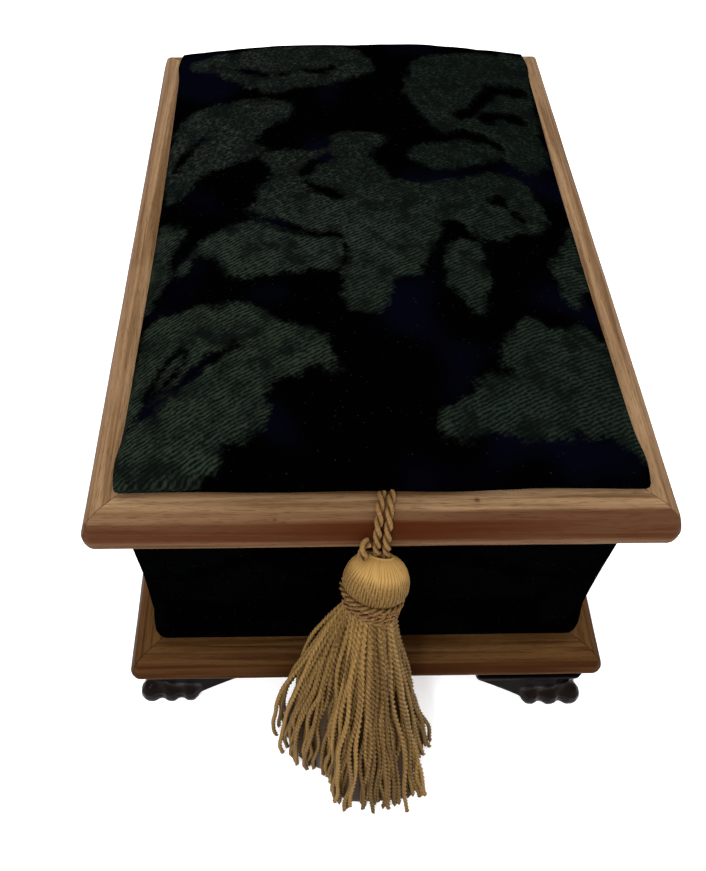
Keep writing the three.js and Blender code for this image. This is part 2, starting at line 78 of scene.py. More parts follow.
# Sizes that the model's source holds too
SEAT_GAP = 0.3
MITRE_GAP = 0.3
FRAME_CORNER_RADIUS = 3.4
LID_EDGE = {"bevel_run": 3.4, "bevel_rise": 2, "face_splay": 2.2, "face_drop": 8.1, "lip_run": 2.6}
LID_RAIL_WIDTH = 15.5
PANEL_REBATE_INSET = 11.6
PANEL_LEDGE_HEIGHT = 7.2
RIM_REBATE_DEPTH = 2
RIM_INSET = 9.4
BASE_EDGE = {"bevel_run": 3.8, "bevel_rise": 2.5, "face_splay": 2, "face_drop": 7.8, "lip_run": 2.6}
BASE_RAIL_WIDTH = 24
CLOTH_THICKNESS = 1.1
CLOTH_CORNER_RADIUS = 2.4
CLOTH_FLARE = 1.7
CLOTH_FLARE_HEIGHT = 18
CORD_DIAMETER = 2.4
CORD_SPACING = 2.6
CORD_CLEARANCE = 0.15
CORD_SOCKET_DEPTH = 10.5
TASSEL_X = -0.1
TASSEL_DROP = 0.2
TASSEL_LEAN = radians(28)
TASSEL_SWAY = radians(9)
HEAD_RADIUS = 9.1
HEAD_DOME_HEIGHT = 8.9
HEAD_SKIRT_HEIGHT = 3.9
NECK_RADIUS = 6.8
BINDING_DIAMETER = 1.8
BINDING_TURNS = 3
SKIRT_NECK_RADIUS = 7.4
SKIRT_BOW = 0.82
SKIRT_SWING = 0.4
SKIRT_FALL = 0.62

lid_front = lid_low[1]
lid_top = lid_high[2]
hang_y = lid_front - CORD_DIAMETER / 2 - CORD_CLEARANCE
head_top = np.array([TASSEL_X, hang_y, lid_low[2] - TASSEL_DROP])
tassel_axis = np.array([
    -sin(TASSEL_SWAY),
    -cos(TASSEL_SWAY) * sin(TASSEL_LEAN),
    -cos(TASSEL_SWAY) * cos(TASSEL_LEAN),
])
tassel_back = np.array([0, cos(TASSEL_LEAN), -sin(TASSEL_LEAN)])
tassel_side = np.cross(tassel_back, -tassel_axis)
head_length = HEAD_DOME_HEIGHT + HEAD_SKIRT_HEIGHT
neck_end = head_length + BINDING_TURNS * BINDING_DIAMETER + SEAT_GAP


# Camera, at the photograph's viewing angle
IMAGE_SIZE = (706, 871)
FOCAL_PIXELS = 845
PRINCIPAL_X = 323.2
CAMERA_PLACE = (-18.77, -228.27, 310.23)
CAMERA_YAW = 0.024
CAMERA_PITCH = 0.924
CAMERA_ROLL = 0.0099
SENSOR_MM = 36


def add_object(name, data):
    made = bpy.data.objects.new(name, data)
    bpy.context.scene.collection.objects.link(made)
    return made


def add_camera():
    data = bpy.data.cameras.new("camera")
    data.sensor_width = SENSOR_MM
    data.lens = FOCAL_PIXELS / max(IMAGE_SIZE) * SENSOR_MM
    data.shift_x = (IMAGE_SIZE[0] / 2 - PRINCIPAL_X) / max(IMAGE_SIZE)
    data.clip_start = 0.01
    camera = add_object("camera", data)
    forward = Vector((
        sin(CAMERA_YAW) * cos(CAMERA_PITCH),
        cos(CAMERA_YAW) * cos(CAMERA_PITCH),
        -sin(CAMERA_PITCH),
    ))
    level = Vector((cos(CAMERA_YAW), -sin(CAMERA_YAW), 0))
    upright = level.cross(forward)
    right = level * cos(CAMERA_ROLL) + upright * sin(CAMERA_ROLL)
    up = upright * cos(CAMERA_ROLL) - level * sin(CAMERA_ROLL)
    turn = Matrix((right, up, -forward)).transposed()
    camera.matrix_world = Matrix.Translation(Vector(CAMERA_PLACE) * MM) @ turn.to_4x4()
    bpy.context.scene.camera = camera


add_camera()


# Meshes
def lattice(rows, columns, wrap_rows=False, wrap_columns=False):
    """Four-sided faces of a lattice of points that are listed row by row."""
    row = np.arange(rows if wrap_rows else rows - 1)[:, None]
    column = np.arange(columns if wrap_columns else columns - 1)[None, :]
    next_row = (row + 1) % rows * columns
    next_column = (column + 1) % columns
    a = row * columns + column
    b = row * columns + next_column
    c = next_row + next_column
    d = next_row + column
    return np.stack([a, b, c, d], -1).reshape(-1, 4)


class Shape:
    """Points, faces and named values at the points, gathered part by part."""

    def __init__(self):
        self.points = []
        self.faces = []
        self.values = {}
        self.count = 0

    def add(self, points, faces, **values):
        points = np.asarray(points, float).reshape(-1, 3)
        for group in faces:
            self.faces.extend((np.asarray(group) + self.count).tolist())
        self.points.append(points)
        self.count += len(points)
        for name, value in values.items():
            value = np.asarray(value, float)
            if value.ndim == 0:
                value = np.full(len(points), float(value))
            self.values.setdefault(name, []).append(value)

    def object(self, name):
        mesh = bpy.data.meshes.new(name)
        mesh.from_pydata((np.vstack(self.points) * MM).tolist(), [], self.faces)
        for label, parts in self.values.items():
            value = np.concatenate(parts)
            kind, key = ("FLOAT_VECTOR", "vector") if value.ndim == 2 else ("FLOAT", "value")
            attribute = mesh.attributes.new(label, kind, "POINT")
            attribute.data.foreach_set(key, value.astype(np.float32).ravel())
        mesh.polygons.foreach_set("use_smooth", [True] * len(mesh.polygons))
        mesh.update()
        return add_object(name, mesh)


def finish_piece(piece, look, nodes):
    piece.data.materials.clear()
    piece.data.materials.append(look)
    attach(piece, BODY)
    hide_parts(*nodes)
    return piece


# Lines and tubes
POINTS_PER_BEND = 12
PLY_SHARE = 0.28
RIPPLE_WAVES = 5


def distance_along(line):
    """How far each point is from the line's start, along the line."""
    return np.r_[0, np.cumsum(np.linalg.norm(np.diff(line, axis=0), axis=1))]


def evenly(line, step):
    """The same line with its points about a step apart."""
    along = distance_along(line)
    count = max(2, round(along[-1] / step) + 1)
    at = np.linspace(0, along[-1], count)
    return np.stack([np.interp(at, along, line[:, axis]) for axis in range(line.shape[1])], 1)


def smooth_line(points, step, closed=False):
    """A Catmull-Rom line through the points."""
    points = np.asarray(points, float)
    if closed:
        points = np.vstack([points[-1], points, points[0], points[1]])
    else:
        points = np.vstack([2 * points[0] - points[1], points, 2 * points[-1] - points[-2]])
    line = []
    for a, b, c, d in zip(points[:-3], points[1:-2], points[2:-1], points[3:]):
        t = np.linspace(0, 1, POINTS_PER_BEND, endpoint=False)[:, None]
        bend = 2 * a - 5 * b + 4 * c - d
        line.append((2 * b + (c - a) * t + bend * t ** 2 + (3 * b - a - 3 * c + d) * t ** 3) / 2)
    line.append(points[-2][None])
    return evenly(np.vstack(line), step)


def axes_along(line):
    """Two directions across a line at each of its points, carried along it without twisting."""
    tangents = np.gradient(line, axis=0)
    tangents /= np.linalg.norm(tangents, axis=1)[:, None]
    across = np.zeros_like(line)
    direction = np.array([1.0, 0, 0])
    for index, tangent in enumerate(tangents):
        direction = direction - (direction @ tangent) * tangent
        direction /= np.linalg.norm(direction)
        across[index] = direction
    return across, np.cross(tangents, across)


def sweep(shape, line, across, beside, rings, **values):
    """A closed tube. Its rings are points across the line: (rings, sides, 2). Its ends' middles come last."""
    count, sides = rings.shape[:2]
    points = line[:, None] + rings[..., :1] * across[:, None] + rings[..., 1:] * beside[:, None]
    ends = np.stack([line[0], line[-1]])
    hub = count * sides
    step = np.arange(sides)
    start_cap = np.stack([np.full(sides, hub), (step + 1) % sides, step], 1)
    last = (count - 1) * sides
    end_cap = np.stack([np.full(sides, hub + 1), last + step, last + (step + 1) % sides], 1)
    faces = [lattice(count, sides, wrap_columns=True), start_cap, end_cap]
    shape.add(np.vstack([points.reshape(-1, 3), ends]), faces, **values)


def with_ends(deep):
    """The painted shade at each point of a tube, darkest in the cord's grooves, its two ends' middles too."""
    return np.r_[deep.ravel(), 0.5, 0.5]


def twisted_cord(shape, line, diameter, pitch, sides=10, phase=0.0, **values):
    """Two plies laid round each other with a left-hand twist."""
    across, beside = axes_along(line)
    ply_radius = diameter * PLY_SHARE
    offset = diameter / 2 - ply_radius
    around = np.arange(sides)[None] / sides * 2 * pi
    section = ply_radius * np.dstack([np.cos(around), np.sin(around)])
    rings = np.repeat(section, len(line), 0)
    for ply in (0, 1):
        angle = (phase + ply * pi - distance_along(line) / pitch * 2 * pi)[:, None]
        centre = line + offset * (np.cos(angle) * across + np.sin(angle) * beside)
        # Painted shade on each ply's side that faces the other, in the groove between them.
        deep = np.clip(0.15 - np.cos(around - angle), 0, 1)
        sweep(shape, centre, across, beside, rings, deep=with_ends(deep), **values)


def ripple(points, length, seed):
    """A smooth waviness from -1 to 1 whose waves are about that long."""
    draw = np.random.default_rng(seed)
    directions = draw.normal(size=(RIPPLE_WAVES, points.shape[1]))
    directions /= np.linalg.norm(directions, axis=1)[:, None]
    lengths = length * draw.uniform(0.6, 1.7, RIPPLE_WAVES)
    phases = draw.uniform(0, 2 * pi, RIPPLE_WAVES)
    return np.sin(points @ directions.T * 2 * pi / lengths + phases).sum(1) / RIPPLE_WAVES


# Materials
class Look:
    """A material made of nodes."""

    def __init__(self, name):
        self.material = bpy.data.materials.new(name)
        self.material.use_nodes = True
        self.nodes = self.material.node_tree.nodes
        self.links = self.material.node_tree.links
        self.shader = self.nodes["Principled BSDF"]

    def put(self, socket, value):
        if isinstance(value, bpy.types.NodeSocket):
            self.links.new(value, socket)
        elif hasattr(value, "__len__") and len(value) == 3 and len(socket.default_value) == 4:
            socket.default_value = (*value, 1)
        else:
            socket.default_value = value

    def node(self, kind, settings=None, **inputs):
        made = self.nodes.new("ShaderNode" + kind)
        for key, value in (settings or {}).items():
            setattr(made, key, value)
        for key, value in inputs.items():
            self.put(made.inputs[key], value)
        return made

    def attribute(self, name, output="Fac"):
        return self.node("Attribute", {"attribute_name": name}).outputs[output]

    def coordinates(self):
        return self.node("TexCoord").outputs["Object"]

    def place(self, source, scale, shift=(0, 0, 0)):
        return self.node("Mapping", Vector=source, Scale=scale, Location=shift).outputs[0]

    def noise(self, vector, scale=1.0, **inputs):
        return self.node("TexNoise", Vector=vector, Scale=scale, **inputs).outputs[0]

    def cells(self, vector, scale):
        """The distance to the nearest of many scattered points."""
        return self.node("TexVoronoi", Vector=vector, Scale=scale).outputs["Distance"]

    def ramp(self, value, low, high, to_low=0.0, to_high=1.0):
        limits = {"From Min": low, "From Max": high, "To Min": to_low, "To Max": to_high}
        return self.node("MapRange", {"interpolation_type": "SMOOTHSTEP"}, Value=value, **limits).outputs[0]

    def combine(self, operation, a, b):
        made = self.node("Math", {"operation": operation})
        self.put(made.inputs[0], a)
        self.put(made.inputs[1], b)
        return made.outputs[0]

    def add(self, a, b):
        return self.combine("ADD", a, b)

    def less(self, a, b):
        return self.combine("SUBTRACT", a, b)

    def times(self, a, b):
        return self.combine("MULTIPLY", a, b)

    def mix(self, a, b, factor):
        made = self.node("Mix", {"data_type": "RGBA"})
        self.put(made.inputs[0], factor)
        self.put(made.inputs[6], a)
        self.put(made.inputs[7], b)
        return made.outputs[2]

    def bump(self, height, distance, strength):
        return self.node("Bump", Height=height, Distance=distance, Strength=strength).outputs[0]

    def finish(self, **inputs):
        for key, value in inputs.items():
            self.put(self.shader.inputs[key.replace("_", " ")], value)
        return self.material


def oak(name, light, dark, stain_and_shade):
    """Varnished oak. The attribute grain is the place in the board in millimetres, along the grain first."""
    look = Look(name)
    grain = look.attribute("grain", "Vector")
    bands = look.noise(look.place(grain, (0.012, 0.42, 0.42)), Detail=3, Roughness=0.55, Distortion=0.6)
    streaks = look.noise(look.place(grain, (0.03, 1.6, 1.6)), Detail=4, Roughness=0.65)
    patches = look.noise(look.place(grain, (0.02, 0.05, 0.05)))
    pores = look.noise(look.place(grain, (0.22, 5.5, 5.5)), Detail=1)
    rays = look.noise(look.place(grain, (0.5, 9.0, 9.0)))
    pore_line = look.ramp(pores, 0.6, 0.68)
    pore_colour = [c * 0.35 for c in dark]
    colour = look.mix(light, dark, look.ramp(bands, 0.34, 0.68))
    colour = look.mix(colour, dark, look.ramp(streaks, 0.5, 0.78, 0.0, 0.55))
    colour = look.mix(colour, light, look.ramp(patches, 0.5, 0.72, 0.0, 0.35))
    colour = look.mix(colour, pore_colour, look.times(pore_line, 0.55))
    # Towards the stain colour: real stain and nail marks, plus painted shade and a painted reflection on the
    # mouldings' faces.
    colour = look.mix(colour, stain_and_shade, look.attribute("stain_and_shade"))
    height = look.add(look.times(streaks, 0.5), look.times(rays, 0.25))
    height = look.less(height, pore_line)
    return look.finish(
        Base_Color=colour,
        Roughness=look.ramp(streaks, 0.2, 0.8, 0.34, 0.5),
        Normal=look.bump(height, 0.00006, 0.5),
        Specular_IOR_Level=0.008,
    )


def bare_wood(name):
    look = Look(name)
    coords = look.coordinates()
    bands = look.noise(look.place(coords, (180, 12, 180)), Detail=3, Distortion=0.5)
    fibre = look.noise(look.place(coords, (2500, 60, 2500)))
    colour = look.mix((0.5, 0.36, 0.21), (0.33, 0.21, 0.11), look.ramp(bands, 0.35, 0.7))
    colour = look.mix(colour, (0.24, 0.15, 0.08), look.ramp(fibre, 0.55, 0.8, 0, 0.5))
    return look.finish(Base_Color=colour, Roughness=0.7, Normal=look.bump(fibre, 0.00008, 0.5))


TWILL_ANGLE = radians(-32)


def damask_motif(look, cloth):
    """1 in the motif and 0 in the ground, with a ragged edge between them."""
    edge = look.noise(cloth, 0.6, Detail=5, Roughness=0.75)
    frayed = look.noise(look.place(cloth, (0.12, 0.12, 0.12), (3, 7, 0)), Detail=3, Roughness=0.6)
    ragged = look.add(look.attribute("motif"), look.times(look.less(edge, 0.5), 6.5))
    ragged = look.add(ragged, look.times(look.less(frayed, 0.5), 10.0))
    return look.ramp(ragged, -1.0, 2.2)


def damask_weave(look, cloth, along):
    """The height of the weave: a slanting twill, ribs that fade towards the back, and knots."""
    turned = look.node("Mapping", Vector=cloth, Rotation=(0, 0, TWILL_ANGLE)).outputs[0]
    twill = look.noise(look.place(turned, (0.5, 1.5, 1.0)), Detail=3, Roughness=0.7)
    wave = {"Scale": 0.26, "Distortion": 4.5, "Detail": 3.0}
    ribs = look.node("TexWave", {"bands_direction": "Y"}, Vector=turned, **wave).outputs[1]
    ribs = look.times(ribs, look.ramp(along, -25, 20, 1.0, 0.3))
    woven = look.add(look.times(twill, 0.62), look.times(ribs, 0.32))
    return look.add(woven, look.times(look.cells(cloth, 0.9), 0.3))


def damask_leaf(look, cloth, across, along, thread):
    """The motif's colour: palest at the back left, darkest at the front right, and worn in patches."""
    large = look.noise(cloth, 0.022)
    faded = look.noise(cloth, 0.11, Detail=4, Roughness=0.65)
    pale = look.mix((0.019, 0.023, 0.020), (0.027, 0.032, 0.029), look.ramp(large, 0.4, 0.6))
    pale = look.mix((0.013, 0.018, 0.012), pale, look.ramp(along, -60, 60))
    pale = look.mix(pale, (0.007, 0.0115, 0.008), look.ramp(across, -50, 50, 0.0, 0.7))
    leaf = look.mix((0.0015, 0.0025, 0.0018), pale, thread)
    return look.mix(leaf, (0.0016, 0.0022, 0.0020), look.ramp(faded, 0.42, 0.66, 0.0, 0.9))


def damask(name):
    """Near-black cloth. The attribute motif is the distance into a motif, and shown is its strength, turned
    low on the cloth round the box as painted shade.
    """
    look = Look(name)
    cloth = look.attribute("cloth", "Vector")
    shown = look.attribute("shown")
    across, along = look.node("SeparateXYZ", Vector=cloth).outputs[:2]
    inside = damask_motif(look, cloth)
    weave = damask_weave(look, cloth, along)
    leaf = damask_leaf(look, cloth, across, along, look.ramp(weave, 0.4, 0.9))
    blue = look.noise(look.place(cloth, (0.028, 0.028, 0.028), (5, 2, 0)), Detail=1)
    blue = look.times(look.ramp(blue, 0.52, 0.68), shown)
    ground = look.mix((0.0002, 0.0002, 0.0002), (0.0005, 0.0006, 0.0020), blue)
    speck = look.ramp(look.cells(cloth, 0.42), 0.10, 0.04)
    colour = look.mix(ground, leaf, look.times(inside, shown))
    colour = look.mix(colour, (0.02, 0.022, 0.02), look.times(speck, 0.3))
    height = look.add(look.times(inside, 0.6), look.times(weave, 0.8))
    return look.finish(
        Base_Color=colour,
        Roughness=0.9,
        Normal=look.bump(height, 0.0003, 0.6),
        Specular_IOR_Level=0.0,
    )


def bronze(name):
    """Dark bronze. The attribute rubbed is where hands have polished it."""
    look = Look(name)
    coords = look.coordinates()
    rubbed = look.attribute("rubbed")
    patches = look.noise(coords, 140, Detail=3)
    fine = look.noise(coords, 900)
    colour = look.mix((0.002, 0.001, 0.0007), (0.0008, 0.0005, 0.0004), look.ramp(patches, 0.35, 0.65))
    colour = look.mix(colour, (0.004, 0.0018, 0.001), look.times(rubbed, 0.8))
    return look.finish(
        Base_Color=colour,
        Roughness=look.ramp(patches, 0.3, 0.7, 0.18, 0.3),
        Specular_IOR_Level=look.ramp(rubbed, 0.2, 0.9, 0.003, 0.03),
        Normal=look.bump(fine, 0.0001, 0.2),
    )


def gold(name, light, dark):
    """Silky thread. A lighter colour is mixed in strand by strand, and on the head as a painted highlight;
    the grooves, the inner strands and the head's hole and neck are darkened with painted shade.
    """
    look = Look(name)
    coords = look.coordinates()
    fibre = look.noise(look.place(coords, (2600, 2600, 700)), Detail=2, Roughness=0.6)
    soft = look.noise(coords, 160)
    shine = [c * 1.9 for c in light]
    groove = [dark[0] * 0.35, dark[1] * 0.3, dark[2] * 0.3]
    colour = look.mix(dark, light, look.ramp(fibre, 0.3, 0.7))
    colour = look.mix(colour, dark, look.ramp(soft, 0.5, 0.8, 0, 0.4))
    # Lighter strand by strand, and a painted highlight on the head.
    colour = look.mix(colour, shine, look.attribute("tint"))
    # Painted shade in the grooves and between the strands.
    colour = look.mix(colour, groove, look.attribute("deep"))
    return look.finish(
        Base_Color=colour,
        Roughness=0.4,
        Normal=look.bump(fibre, 0.00006, 0.5),
        Specular_IOR_Level=0.02,
    )


lid_oak = oak("lid_oak", (0.215, 0.132, 0.070), (0.090, 0.046, 0.019), (0.034, 0.0075, 0.0016))
base_oak = oak("base_oak", (0.080, 0.039, 0.013), (0.030, 0.0115, 0.003), (0.022, 0.0055, 0.0009))
plain_wood = bare_wood("bare_wood")
dark_damask = damask("dark_damask")
dark_bronze = bronze("dark_bronze")
cord_gold = gold("cord_gold", (0.165, 0.092, 0.034), (0.062, 0.029, 0.009))
thread_gold = gold("thread_gold", (0.160, 0.094, 0.030), (0.060, 0.030, 0.008))


# Cords. The route's points are the model's.
def cord_route(side):
    x = TASSEL_X + side * CORD_SPACING / 2
    lift = CORD_DIAMETER / 2 + CORD_CLEARANCE
    pad_front = pad_low[1]
    arris = lid_front + LID_EDGE["face_splay"]
    flat_edge = arris + LID_EDGE["bevel_run"]
    bevel_low = lid_top - LID_EDGE["bevel_rise"]
    socket = tassel_axis * (CORD_SOCKET_DEPTH - SEAT_GAP)
    return np.array([
        [x + 1.1, pad_front - SEAT_GAP, lid_top + lift],
        [x + 0.8, pad_front - 2, lid_top + lift],
        [x + 0.4, flat_edge, lid_top + lift],
        [x + 0.1, arris + 0.8, bevel_low + 2.1],
        [x - 0.1, arris - 1.3, bevel_low + 0.5],
        [x - 0.3, (arris + lid_front) / 2 - 1.5, lid_top - LID_EDGE["face_drop"] * 0.6],
        [x - 0.3, hang_y, lid_top - LID_EDGE["face_drop"]],
        [x - 0.1, hang_y, lid_low[2] + 1.2],
        [x, hang_y, head_top[2]],
        [x + socket[0], hang_y + socket[1], head_top[2] + socket[2]],
    ])


def knot_route():
    x = TASSEL_X - CORD_SPACING / 2 - CORD_DIAMETER - SEAT_GAP
    return np.array([
        [x + 0.4, hang_y, head_top[2] + 6.4],
        [x - 0.5, hang_y - 0.3, head_top[2] + 6.2],
        [x - 1.3, hang_y - 1.1, head_top[2] + 4.6],
        [x - 1.4, hang_y - 2.1, head_top[2] + 2.6],
        [x - 1.6, hang_y - 2.9, head_top[2] + 1.9],
    ])


HITCH_DIAMETER = 2.9
CORD_PITCH = 8.0
CORD_STEP = 0.35


def add_cords():
    knot = Shape()
    twisted_cord(knot, smooth_line(knot_route(), CORD_STEP), HITCH_DIAMETER, CORD_PITCH, tint=0.2)
    knot = finish_piece(knot.object("hitch"), cord_gold, ["tassel_knot"])
    for name, side, phase, with_pieces in (("left", -1, 0.4, [knot]), ("right", 1, 1.5, [])):
        line = smooth_line(cord_route(side), CORD_STEP)
        shape = Shape()
        twisted_cord(shape, line, CORD_DIAMETER, CORD_PITCH, phase=phase, tint=0.15)
        piece = finish_piece(shape.object(f"cord_{name}"), cord_gold, [f"tassel_cord_{name}"])


add_cords()


# Wooden frames
LIP_FULLNESS = 0.62
BEVEL_ROUNDNESS = 0.3
LEAST_CORNER_RADIUS = 0.3
RAIL_STRETCHES = 80
NAILED_RAIL_STRETCHES = 240
BOARD_SHIFT = np.array([400, 0, 37])
NAIL_MARKS = [(-28.2, -113.6), (-26.2, -114.2), (24.6, -109.0)]
NAIL_MARK_RADIUS = 0.65


def edge_profile(low, high, edge):
    """The outer edge, from the underside up: a rounded lip, a face that leans in and a soft bevel."""
    lip_top = high - edge["face_drop"]
    arris = high - edge["bevel_rise"]
    points = []
    for angle in np.linspace(0, pi / 2, 12):
        inset = edge["lip_run"] * (1 - sin(angle) ** LIP_FULLNESS)
        points.append((inset, low + (lip_top - low) * (1 - max(cos(angle), 0) ** LIP_FULLNESS)))
    for share in np.linspace(0, 1, 14)[1:]:
        points.append((edge["face_splay"] * share ** 1.2, lip_top + share * (arris - lip_top)))
    for share in np.linspace(0, 1, 12)[1:]:
        turn = share * pi / 2
        inset = (1 - BEVEL_ROUNDNESS) * share + BEVEL_ROUNDNESS * (1 - cos(turn))
        climb = (1 - BEVEL_ROUNDNESS) * share + BEVEL_ROUNDNESS * sin(turn)
        points.append((edge["face_splay"] + edge["bevel_run"] * inset, arris + edge["bevel_rise"] * climb))
    return points


def flat_run(points, *corners, step=1.0):
    """Adds straight stretches to a profile, with points about a step apart along them."""
    for corner in corners:
        start = np.array(points[-1], float)
        end = np.array(corner, float)
        count = max(1, round(np.linalg.norm(end - start) / step))
        for share in np.linspace(0, 1, count + 1)[1:]:
            points.append(tuple(start + share * (end - start)))
    return points


def rail(side, profile, half, seed, stain_and_shade, stretches):
    """One mitred rail of a frame, with its outer corners rounded in plan and its edge a little worn."""
    profile = np.asarray(profile)
    along_x = side in ("front", "back")
    reach = half[0] if along_x else half[1]
    out = half[1] if along_x else half[0]
    sign = -1 if side in ("front", "left") else 1
    inset = profile[:, :1]
    radius = np.maximum(FRAME_CORNER_RADIUS - inset, LEAST_CORNER_RADIUS)
    arc = np.linspace(pi / 4, pi / 2, 9)[None]
    end_along = reach - inset - radius + radius * np.cos(arc)
    end_out = out - inset - radius + radius * np.sin(arc)
    straight = np.linspace(1, -1, stretches)[None, 1:-1]
    along = np.hstack([end_along, (reach - inset - radius) * straight, -end_along[:, ::-1]])
    outward = np.hstack([end_out, np.repeat(out - inset, straight.shape[1], 1), end_out[:, ::-1]])
    along = along * (1 - MITRE_GAP / sqrt(2) / reach)
    height = np.repeat(profile[:, 1:], along.shape[1], 1)
    x, y = (along, outward * sign) if along_x else (outward * sign, along)
    rows, columns = along.shape
    points = np.stack([x, y, height], -1).reshape(-1, 3)
    outer_rows = (inset < LID_RAIL_WIDTH * 0.6).astype(float).repeat(columns, 1).ravel()
    worn = (ripple(points, 26, seed) * 0.10 + ripple(points, 9, seed + 1) * 0.04) * outer_rows
    points[:, 2] += worn * 0.5
    points[:, 1 if along_x else 0] += worn * sign
    start_cap = np.arange(rows)[None] * columns
    end_cap = start_cap[:, ::-1] + columns - 1
    faces = [lattice(rows, columns, wrap_rows=True), start_cap, end_cap]
    if sign * (1 if along_x else -1) < 0:
        faces = [group[:, ::-1] for group in faces]
    grain = np.stack([along.ravel(), outward.ravel(), height.ravel()], -1) + seed * BOARD_SHIFT
    shape = Shape()
    shape.add(points, faces, grain=grain, stain_and_shade=stain_and_shade(points, along.ravel()))
    return shape


def zone_stain_and_shade(points, top, edge, lip, face, bevel):
    """How dark the wood is made down a moulding: on its bevel, its outer face and its lip, which is lighter
    than the face. The darker bevel and face are partly a darker varnish and partly painted shade.
    """
    drop = top - points[:, 2]
    bevel_end, face_end = edge["bevel_rise"], edge["face_drop"]
    on_bevel = ease(drop, 0.1, 0.5)
    on_face = ease(drop, bevel_end - 0.3, bevel_end + 0.3)
    on_lip = ease(drop, face_end - 0.6, face_end + 0.6)
    return bevel * on_bevel + (face - bevel) * on_face + (lip - face) * on_lip


def base_stain_and_shade(points, along):
    # The base's face is partly painted shade, and darker still about 20 mm along each rail.
    return zone_stain_and_shade(points, base_high[2], BASE_EDGE, 0.3, 0.55 + 0.35 * hill(along, 20, 40), 0.3)


def lid_stain_and_shade(points, along):
    return zone_stain_and_shade(points, lid_top, LID_EDGE, 0.5, 0.75, 0.3)


def lid_front_stain_and_shade(points, along):
    """The front's face is darker towards its middle, a painted reflection of dark surroundings, and its bevel
    is darker towards its right, which leaves a painted highlight along its left. There are nail marks in the
    top.
    """
    face = 0.82 + 0.16 * hill(along, 4, 44)
    bevel = 0.5 + 0.33 * ease(along, -40, 20)
    stain_and_shade = zone_stain_and_shade(points, lid_top, LID_EDGE, 0.55, face, bevel)
    for place in NAIL_MARKS:
        away = np.hypot(*(points[:, :2] - place).T)
        stain_and_shade = np.maximum(stain_and_shade, hill(away, 0, NAIL_MARK_RADIUS) * (points[:, 2] > lid_top - 3))
    return stain_and_shade


def add_frames():
    ledge = lid_low[2] + PANEL_LEDGE_HEIGHT
    rim = lid_low[2] + RIM_REBATE_DEPTH
    lid_profile = flat_run(
        edge_profile(lid_low[2], lid_top, LID_EDGE),
        (PANEL_REBATE_INSET - 0.3, lid_top), (PANEL_REBATE_INSET, lid_top - 0.3),
        (PANEL_REBATE_INSET, ledge), (LID_RAIL_WIDTH, ledge), (LID_RAIL_WIDTH, rim), (RIM_INSET, rim),
        (RIM_INSET, lid_low[2]), (LID_EDGE["lip_run"] + 0.3, lid_low[2]),
    )
    base_profile = flat_run(
        edge_profile(base_low[2], base_high[2], BASE_EDGE),
        (BASE_RAIL_WIDTH, base_high[2]), (BASE_RAIL_WIDTH, base_low[2]),
        (BASE_EDGE["lip_run"] + 0.3, base_low[2]), step=1.4,
    )
    for number, side in enumerate(SIDES):
        stain_and_shade, stretches = lid_stain_and_shade, RAIL_STRETCHES
        if side == "front":
            stain_and_shade, stretches = lid_front_stain_and_shade, NAILED_RAIL_STRETCHES
        shape = rail(side, lid_profile, lid_high, number + 1, stain_and_shade, stretches)
        finish_piece(shape.object(f"lid_frame_{side}"), lid_oak, [f"lid_rail_{side}"])
        shape = rail(side, base_profile, base_high, number + 11, base_stain_and_shade, RAIL_STRETCHES)
        finish_piece(shape.object(f"base_frame_{side}"), base_oak, [f"base_rail_{side}"])


add_frames()


